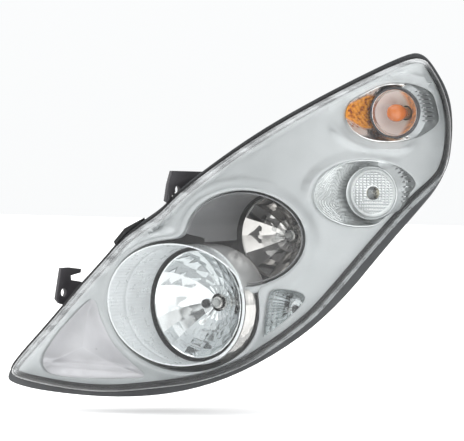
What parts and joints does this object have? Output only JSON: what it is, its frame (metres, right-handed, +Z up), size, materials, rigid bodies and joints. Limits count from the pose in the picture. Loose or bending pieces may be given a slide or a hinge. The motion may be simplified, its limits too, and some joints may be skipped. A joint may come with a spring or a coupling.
{
  "type": "car headlight",
  "caption": "Left-hand swept-back car headlight with a clear lens, twin round reflectors on an aiming carrier, daytime lamp, amber indicator and rear bulb covers.",
  "frame": {"origin": "point on the flat outer face of the upper mounting bracket", "axes": "+X across the vehicle to the lamp's outer side, -Y the way the light shines, +Z up"},
  "size_m": [0.5198, 0.391, 0.459],
  "materials": {
    "housing_plastic": "moulded, fine grain",
    "lens_clear": "clear, hard coated",
    "seal_black": "satin",
    "satin_silver": "metallised, satin",
    "bright_silver": "metallised, bright",
    "tunnel_grey": "metallised, dark satin",
    "carrier_black": "moulded",
    "bulb_steel": "plain",
    "bulb_glass": "clear",
    "bulb_brass": "plain",
    "amber_glass": "amber",
    "connector_black": "moulded",
    "bracket_plastic": "moulded, glass filled",
    "cap_black": "moulded",
    "cap_rubber": "satin",
    "pin_plastic": "moulded",
    "adjuster_grey": "moulded"
  },
  "bodies": {
    "lamp_body": {"housing": "housing_plastic", "lens": "lens_clear", "lens_seal": "seal_black", "bezel": "satin_silver", "cove_trim": "bright_silver", "low_beam_hood": "satin_silver", "low_beam_barrel": "bright_silver", "high_beam_tunnel": "tunnel_grey", "corner_reflector": "bright_silver", "pivot_ball_stud": "bulb_steel", "daytime_reflector": "satin_silver", "daytime_disc": "satin_silver", "indicator_reflector": "satin_silver", "indicator_ring": "tunnel_grey", "leveling_motor": "connector_black", "main_connector": "connector_black", "vent_cap": "cap_black", "locating_peg": "bracket_plastic", "lower_bracket": "bracket_plastic", "upper_bracket": "bracket_plastic", "outer_bracket": "bracket_plastic", "top_clip": "seal_black"},
    "swivel_cup": {"pivot_cup": "bracket_plastic"},
    "reflector_unit": {"low_reflector": "bright_silver", "high_reflector": "bright_silver", "reflector_carrier": "carrier_black", "low_bulb_base": "bulb_steel", "high_bulb_base": "bulb_steel", "low_bulb_glass": "bulb_glass", "high_bulb_glass": "bulb_glass", "low_bulb_plug": "connector_black", "high_bulb_plug": "connector_black"},
    "low_clip": {"low_bulb_clip": "bulb_steel"},
    "high_clip": {"high_bulb_clip": "bulb_steel"},
    "level_shaft": {"leveling_shaft": "pin_plastic"},
    "side_screw": {"side_adjuster": "adjuster_grey"},
    "height_knob": {"height_adjuster": "adjuster_grey"},
    "low_cover": {"low_cap": "cap_black", "low_cap_seal": "cap_rubber"},
    "high_cover": {"high_cap": "cap_black", "high_cap_seal": "cap_rubber"},
    "daytime_lamp": {"daytime_holder": "connector_black", "daytime_bulb_base": "connector_black", "daytime_bulb_glass": "bulb_glass"},
    "indicator_lamp": {"indicator_holder": "connector_black", "indicator_bulb_base": "bulb_brass", "indicator_bulb_glass": "amber_glass"},
    "side_lamp": {"side_holder": "connector_black", "side_bulb_glass": "bulb_glass"}
  },
  "joints": [
    {"name": "reflector_yaw", "type": "hinge", "parent": "lamp_body", "child": "swivel_cup", "pos_m": [0.078, 0.098, -0.012], "axis": [0, 0, 1], "range_deg": [-1.2, 1.2]},
    {"name": "reflector_pitch", "type": "hinge", "parent": "swivel_cup", "child": "reflector_unit", "pos_m": [0.078, 0.098, -0.012], "axis": [1, 0, 0], "range_deg": [-1.5, 2]},
    {"name": "low_clip_hinge", "type": "hinge", "parent": "reflector_unit", "child": "low_clip", "pos_m": [0.008, 0.0676, -0.186], "axis": [-1, 0, 0], "range_deg": [0, 40]},
    {"name": "high_clip_hinge", "type": "hinge", "parent": "reflector_unit", "child": "high_clip", "pos_m": [0.081, 0.1326, -0.097], "axis": [-1, 0, 0], "range_deg": [0, 40]},
    {"name": "leveling_shaft_slide", "type": "slide", "parent": "lamp_body", "child": "level_shaft", "axis": [0, 1, 0], "range_m": [-0.0045, 0.0056]},
    {"name": "side_adjuster_slide", "type": "slide", "parent": "lamp_body", "child": "side_screw", "axis": [0, 1, 0], "range_m": [-0.0025, 0.0025]},
    {"name": "height_adjuster_turn", "type": "hinge", "parent": "lamp_body", "child": "height_knob", "pos_m": [0.069, 0.188, -0.168], "axis": [0, 1, 0], "continuous": true},
    {"name": "low_cover_pull", "type": "slide", "parent": "lamp_body", "child": "low_cover", "axis": [0, 1, 0], "range_m": [0, 0.05]},
    {"name": "high_cover_pull", "type": "slide", "parent": "lamp_body", "child": "high_cover", "axis": [0, 1, 0], "range_m": [0, 0.05]},
    {"name": "daytime_holder_twist", "type": "hinge", "parent": "lamp_body", "child": "daytime_lamp", "pos_m": [0.194, 0.251, -0.02], "axis": [0, 1, 0], "range_deg": [0, 45]},
    {"name": "indicator_holder_twist", "type": "hinge", "parent": "lamp_body", "child": "indicator_lamp", "pos_m": [0.2106, 0.264, 0.086], "axis": [0, 1, 0], "range_deg": [0, 45]},
    {"name": "side_holder_twist", "type": "hinge", "parent": "lamp_body", "child": "side_lamp", "pos_m": [0.118, 0.081, -0.173], "axis": [0, 1, 0], "range_deg": [0, 45]}
  ],
  "couplings": [
    {"joint": "leveling_shaft_slide", "follows": "reflector_pitch", "m_per_rad": 0.15},
    {"joint": "side_adjuster_slide", "follows": "reflector_yaw", "m_per_rad": -0.095}
  ]
}
